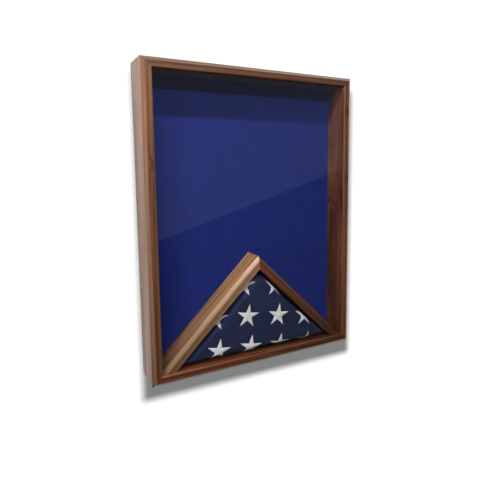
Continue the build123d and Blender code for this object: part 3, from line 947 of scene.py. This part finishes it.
camera_data = bpy.data.cameras.new("camera")
camera_data.lens = CAMERA_LENS
camera_data.sensor_width = 36.0
camera_data.shift_x, camera_data.shift_y = CAMERA_SHIFT
camera = bpy.data.objects.new("camera", camera_data)
bpy.context.scene.collection.objects.link(camera)
camera_back = CAMERA_RIGHT.cross(CAMERA_UP).normalized()
camera.matrix_world = Matrix.Translation(CAMERA_PLACE) @ Matrix(
    (CAMERA_RIGHT, CAMERA_UP, camera_back)
).transposed().to_4x4()
bpy.context.scene.camera = camera

# ---------------------------------------------------------------- stage
stage_collection = bpy.data.collections.new("stage")
case_collection = bpy.data.collections.new("case_receivers")
for collection in (stage_collection, case_collection):
    bpy.context.scene.collection.children.link(collection)

WALL_Y = CAD_HIGH.y + 1.5 * MM
FLOOR_Z = -0.95
REACH = 4.0  # half the width of the wall and the floor
WALL_TONE, FLOOR_TONE, SHADOW_CARD_TONE = 0.20, 0.74, 0.5
CARD_Y = -1.54  # the bright card that the glass mirrors
# Where the card's lower edge shows on the glass (x, z).
CARD_EDGE = ((-0.1987, 0.2826), (0.2154, 0.4108))
CARD_STRENGTH = 0.30
CARD_COLOUR = (0.82, 0.95, 1.3, 1.0)
# The case's soft shadow on the wall (x, z) is cast by a card out in front of every other lamp.
SHADOW_EDGE = [(-0.232, -0.0655), (0.292, -0.0755), (0.292, 0.595), (-0.228, 0.595)]
SHADOW_CARD_Y = -5.0
SHADOW_BLUR = 0.022  # how wide the shadow's edge is on the wall


def stage_plane(name, corners, material, camera=True, gloss=False, shadow=False):
    """A flat piece of the stage, seen only by the kinds of ray that are named."""
    mesh = bpy.data.meshes.new(name)
    mesh.from_pydata(corners, [], [tuple(range(len(corners)))])
    mesh.materials.append(material)
    plane = bpy.data.objects.new(name, mesh)
    stage_collection.objects.link(plane)
    plane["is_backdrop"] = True
    plane.visible_camera = camera
    plane.visible_diffuse = False
    plane.visible_glossy = gloss
    plane.visible_transmission = False
    plane.visible_shadow = shadow
    return plane


def stage_matt(name, tone, two_sided):
    """Matt and neutral; a wall's far side is clear so that it can't stand before the back of the case.

    The wall is grey under strong suns, which keeps the case's own colour from showing on it.
    """
    shade = Shader(name)
    shade.set(Base_Color=(tone, tone, tone, 1.0), Roughness=0.9, Specular_IOR_Level=0.0)
    if not two_sided:
        clear = shade.add("ShaderNodeBsdfTransparent")
        behind = shade.add("ShaderNodeNewGeometry").outputs["Backfacing"]
        shade.finish_with(behind, clear.outputs[0])
    return shade.material


def glow(name, colour, strength):
    """A surface that gives light and reflects none."""
    shade = Shader(name)
    shade.set(Base_Color=(0.0, 0.0, 0.0, 1.0), Specular_IOR_Level=0.0)
    shade.set(Emission_Color=colour, Emission_Strength=strength)
    return shade.material


def level_square(z):
    return [(-REACH, -REACH, z), (REACH, -REACH, z), (REACH, REACH, z), (-REACH, REACH, z)]


def upright_rectangle(y, low_z):
    return [(-REACH, y, low_z), (REACH, y, low_z), (REACH, y, REACH), (-REACH, y, REACH)]


def mirrored_on_card(x, z):
    """The card's point that the camera sees in the glass at (x, z)."""
    eye = Vector((CAMERA_PLACE.x, 2 * GLASS_FRONT - CAMERA_PLACE.y, CAMERA_PLACE.z))
    through = Vector((x, GLASS_FRONT, z)) - eye
    return eye + through * ((CARD_Y - eye.y) / through.y)


def card_corners():
    """A tall card whose lower edge crosses the glass as a slanting line."""
    left, right = (mirrored_on_card(*point) for point in CARD_EDGE)
    slope = (right - left).normalized()
    left, right = left - slope * REACH / 2, right + slope * REACH / 2
    up = Vector((0, 0, REACH))
    return [left, right, right + up, left + up]


wall_matt = stage_matt("wall_matt", WALL_TONE, False)
stage_plane("wall", upright_rectangle(WALL_Y, FLOOR_Z), wall_matt, gloss=True)
floor_matt = stage_matt("floor_matt", FLOOR_TONE, True)
stage_plane("floor", level_square(FLOOR_Z), floor_matt)
card_glow = glow("card_glow", CARD_COLOUR, CARD_STRENGTH)
stage_plane("reflection_card", card_corners(), card_glow, camera=False, gloss=True)
shadow_corners = [(x, SHADOW_CARD_Y, z) for x, z in SHADOW_EDGE]
shadow_matt = stage_matt("shadow_card_matt", SHADOW_CARD_TONE, True)
stage_plane("shadow_card", shadow_corners, shadow_matt, camera=False, shadow=True)


# ---------------------------------------------------------------- lights
def from_angles(distance, azimuth, elevation):
    """A point seen from the case at an azimuth left of straight ahead and an elevation, in degrees."""
    a, e = math.radians(azimuth), math.radians(elevation)
    step = Vector((-math.sin(a) * math.cos(e), -math.cos(a) * math.cos(e), math.sin(e)))
    return CENTRE + step * distance


def lamp(name, kind, place, aim, energy, receivers, **settings):
    """A lamp that lights only the objects in one collection."""
    data = bpy.data.lights.new(name, kind)
    data.energy = energy
    for key, value in settings.items():
        setattr(data, key, value)
    made = bpy.data.objects.new(name, data)
    bpy.context.scene.collection.objects.link(made)
    made.location = place
    made.rotation_euler = (aim - place).to_track_quat("-Z", "Y").to_euler()
    made.light_linking.receiver_collection = receivers
    made.visible_transmission = False  # its light already comes through the glass as shadow rays


def area(name, distance, azimuth, elevation, share, width, height, level=False, spread=180):
    """A rectangular area lamp aimed at the case; share is how bright it makes white that faces it.

    A level one is aimed straight back, so that its long side lies along the case's top edge. A
    spread under 180 degrees makes it weaker away from its axis.
    """
    place = from_angles(distance, azimuth, elevation)
    aim = Vector((place.x, CENTRE.y, CENTRE.z)) if level else CENTRE
    energy = share * (math.pi * distance) ** 2
    size = {"shape": "RECTANGLE", "size": width, "size_y": height, "spread": math.radians(spread)}
    lamp(name, "AREA", place, aim, energy, case_collection, **size)


def sun(name, elevation, energy, **settings):
    """A sun on the wall and floor, straight in front of the case."""
    place = from_angles(2.0, 0, elevation)
    angle = SHADOW_BLUR / (WALL_Y - SHADOW_CARD_Y)
    lamp(name, "SUN", place, CENTRE, energy, stage_collection, angle=angle, **settings)


# Each area lamp's distance, azimuth, elevation, share, width and height.
area("high_key", 1.38, 42, 50, 0.60, 0.70, 0.05, level=True, spread=116)
area("low_key", 2.4, 8, 28.7, 0.46, 0.40, 0.05, level=True)
area("left_strip", 2.2, 53, 30, 0.27, 0.20, 0.80)
area("left_glow", 2.2, 90, 0, 0.73, 1.6, 2.2)
area("top_soft", 2.2, -112, 62, 0.5, 1.2, 1.2)
area("right_soft", 2.4, -95, 20, 0.7, 1.4, 1.4)
area("back_soft", 2.4, 205, 25, 0.8, 1.6, 1.6)
area("back_right", 2.4, 140, 20, 0.4, 1.2, 1.2)
area("under_soft", 2.4, 165, -50, 0.6, 1.4, 1.4)
sun("wall_sun", 0, 13.1)
sun("wall_fill", 45, 4.65, use_shadow=False)

AMBIENT = 0.08  # on matt surfaces
GLOSS_AMBIENT = 0.01  # in reflections
world = bpy.data.worlds.new("world")
bpy.context.scene.world = world
world.use_nodes = True
sky = world.node_tree
background = sky.nodes["Background"]
background.inputs["Color"].default_value = (1.0, 1.0, 1.0, 1.0)
ray_kinds = sky.nodes.new("ShaderNodeLightPath").outputs


def light_for(kind, value, otherwise):
    """The world's light on one kind of ray, and on all the others."""
    choice = sky.nodes.new("ShaderNodeMapRange")
    choice.inputs["To Min"].default_value = otherwise
    choice.inputs["To Max"].default_value = value
    sky.links.new(ray_kinds[kind], choice.inputs["Value"])
    return choice.outputs["Result"]


brighter = sky.nodes.new("ShaderNodeMath")
brighter.operation = "MAXIMUM"
sky.links.new(light_for("Is Diffuse Ray", AMBIENT, GLOSS_AMBIENT), brighter.inputs[0])
sky.links.new(light_for("Is Camera Ray", 1.0, 0.0), brighter.inputs[1])
sky.links.new(brighter.outputs[0], background.inputs["Strength"])

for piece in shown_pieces():
    case_collection.objects.link(piece)

view = bpy.context.scene.view_settings
view.view_transform = "Standard"
view.look = "None"
